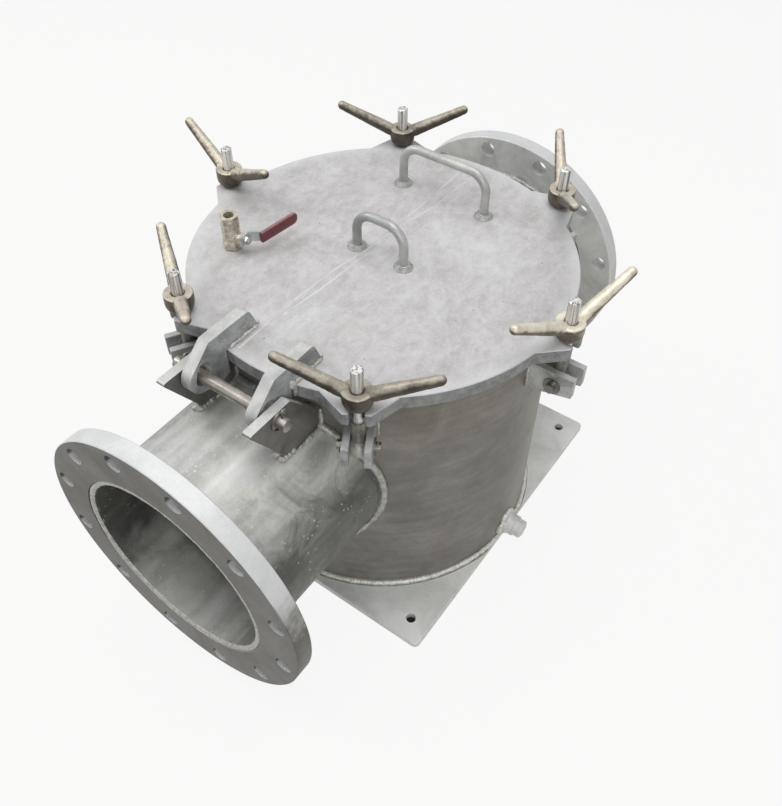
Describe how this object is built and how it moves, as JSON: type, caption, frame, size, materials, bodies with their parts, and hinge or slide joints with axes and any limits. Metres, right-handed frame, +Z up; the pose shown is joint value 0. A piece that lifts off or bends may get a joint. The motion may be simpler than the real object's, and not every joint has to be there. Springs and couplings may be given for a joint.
{
  "type": "sea chest strainer",
  "caption": "Vertical basket strainer: flanged inlet and outlet, hinged lid held by swing bolts with wing nuts, lifting handles, vent valve and drain.",
  "frame": {"origin": "vessel axis at the underside of the base plate", "axes": "+Z up, +X from the inlet to the outlet, along both nozzles"},
  "size_m": [0.78, 0.6508, 0.498],
  "materials": {
    "galvanised_steel": "hot-dip galvanised, matt",
    "galvanised_lid": "hot-dip galvanised, matt",
    "cast_nut": "as cast, brownish grey",
    "stud_steel": "bright thread",
    "stainless": "polished",
    "valve_brass": "nickel plated, worn",
    "lever_zinc": "zinc plated",
    "red_grip": "dipped plastic",
    "seat_plastic": "satin",
    "rubber": "matt"
  },
  "bodies": {
    "vessel": {"base_plate": "galvanised_steel", "body_shell": "galvanised_steel", "rim_ring": "galvanised_steel", "lid_gasket": "rubber", "inlet_pipe": "galvanised_steel", "outlet_pipe": "galvanised_steel", "inlet_flange": "galvanised_steel", "outlet_flange": "galvanised_steel", "hinge_lug_left": "galvanised_steel", "hinge_lug_right": "galvanised_steel", "hinge_pin": "stainless", "hinge_washers": "stainless", "hinge_split_pins": "stainless", "dog_lugs": "galvanised_steel", "dog_washers": "stainless", "dog_split_pins": "stainless", "dog_pins": "stainless", "drain_boss": "galvanised_steel", "basket_shell": "stainless", "basket_rim": "stainless", "basket_floor": "stainless", "basket_bail": "stainless", "basket_seat": "galvanised_steel", "basket_guides": "galvanised_steel"},
    "lid": {"lid_plate": "galvanised_lid", "lid_handle_small": "galvanised_steel", "lid_handle_large": "galvanised_steel", "hinge_arm_left": "galvanised_steel", "hinge_arm_right": "galvanised_steel", "valve_nipple": "valve_brass", "valve_body": "valve_brass", "valve_end": "valve_brass", "valve_seats": "seat_plastic", "valve_gland_nut": "valve_brass"},
    "vent_lever": {"valve_lever": "lever_zinc", "valve_grip": "red_grip", "valve_stem": "stainless", "valve_ball": "stainless", "valve_lever_nut": "stainless"},
    "drain_plug": {"drain_plug": "galvanised_steel"},
    "swing_bolt_1": {"swing_bolt_1": "stud_steel"},
    "wing_nut_1": {"wing_nut_1": "cast_nut"},
    "swing_bolt_2": {"swing_bolt_2": "stud_steel"},
    "wing_nut_2": {"wing_nut_2": "cast_nut"},
    "swing_bolt_3": {"swing_bolt_3": "stud_steel"},
    "wing_nut_3": {"wing_nut_3": "cast_nut"},
    "swing_bolt_4": {"swing_bolt_4": "stud_steel"},
    "wing_nut_4": {"wing_nut_4": "cast_nut"},
    "swing_bolt_5": {"swing_bolt_5": "stud_steel"},
    "wing_nut_5": {"wing_nut_5": "cast_nut"},
    "swing_bolt_6": {"swing_bolt_6": "stud_steel"},
    "wing_nut_6": {"wing_nut_6": "cast_nut"}
  },
  "joints": [
    {"name": "lid_hinge", "type": "hinge", "parent": "vessel", "child": "lid", "pos_m": [-0.285, 0, 0.42], "axis": [0, -1, 0], "range_deg": [0, 0.15]},
    {"name": "vent_lever_turn", "type": "hinge", "parent": "lid", "child": "vent_lever", "pos_m": [-0.1022, 0.1634, 0.453], "axis": [0, -1, 0], "range_deg": [0, 90]},
    {"name": "drain_plug_turn", "type": "hinge", "parent": "vessel", "child": "drain_plug", "pos_m": [0, -0.26, 0.032], "axis": [0, -1, 0], "continuous": true},
    {"name": "bolt_1_swing", "type": "hinge", "parent": "vessel", "child": "swing_bolt_1", "pos_m": [0.2269, 0.131, 0.365], "axis": [-0.5, 0.866, 0], "range_deg": [0, 75]},
    {"name": "nut_1_turn", "type": "hinge", "parent": "swing_bolt_1", "child": "wing_nut_1", "pos_m": [0.2269, 0.131, 0.44], "axis": [0, 0, 1], "continuous": true},
    {"name": "bolt_2_swing", "type": "hinge", "parent": "vessel", "child": "swing_bolt_2", "pos_m": [0, 0.262, 0.365], "axis": [-1, 0, 0], "range_deg": [0, 100]},
    {"name": "nut_2_turn", "type": "hinge", "parent": "swing_bolt_2", "child": "wing_nut_2", "pos_m": [0, 0.262, 0.44], "axis": [0, 0, 1], "continuous": true},
    {"name": "bolt_3_swing", "type": "hinge", "parent": "vessel", "child": "swing_bolt_3", "pos_m": [-0.2269, 0.131, 0.365], "axis": [-0.5, -0.866, 0], "range_deg": [0, 100]},
    {"name": "nut_3_turn", "type": "hinge", "parent": "swing_bolt_3", "child": "wing_nut_3", "pos_m": [-0.2269, 0.131, 0.44], "axis": [0, 0, 1], "continuous": true},
    {"name": "bolt_4_swing", "type": "hinge", "parent": "vessel", "child": "swing_bolt_4", "pos_m": [-0.2269, -0.131, 0.365], "axis": [0.5, -0.866, 0], "range_deg": [0, 100]},
    {"name": "nut_4_turn", "type": "hinge", "parent": "swing_bolt_4", "child": "wing_nut_4", "pos_m": [-0.2269, -0.131, 0.44], "axis": [0, 0, 1], "continuous": true},
    {"name": "bolt_5_swing", "type": "hinge", "parent": "vessel", "child": "swing_bolt_5", "pos_m": [0, -0.262, 0.365], "axis": [1, 0, 0], "range_deg": [0, 100]},
    {"name": "nut_5_turn", "type": "hinge", "parent": "swing_bolt_5", "child": "wing_nut_5", "pos_m": [0, -0.262, 0.44], "axis": [0, 0, 1], "continuous": true},
    {"name": "bolt_6_swing", "type": "hinge", "parent": "vessel", "child": "swing_bolt_6", "pos_m": [0.2269, -0.131, 0.365], "axis": [0.5, 0.866, 0], "range_deg": [0, 65]},
    {"name": "nut_6_turn", "type": "hinge", "parent": "swing_bolt_6", "child": "wing_nut_6", "pos_m": [0.2269, -0.131, 0.44], "axis": [0, 0, 1], "continuous": true}
  ]
}
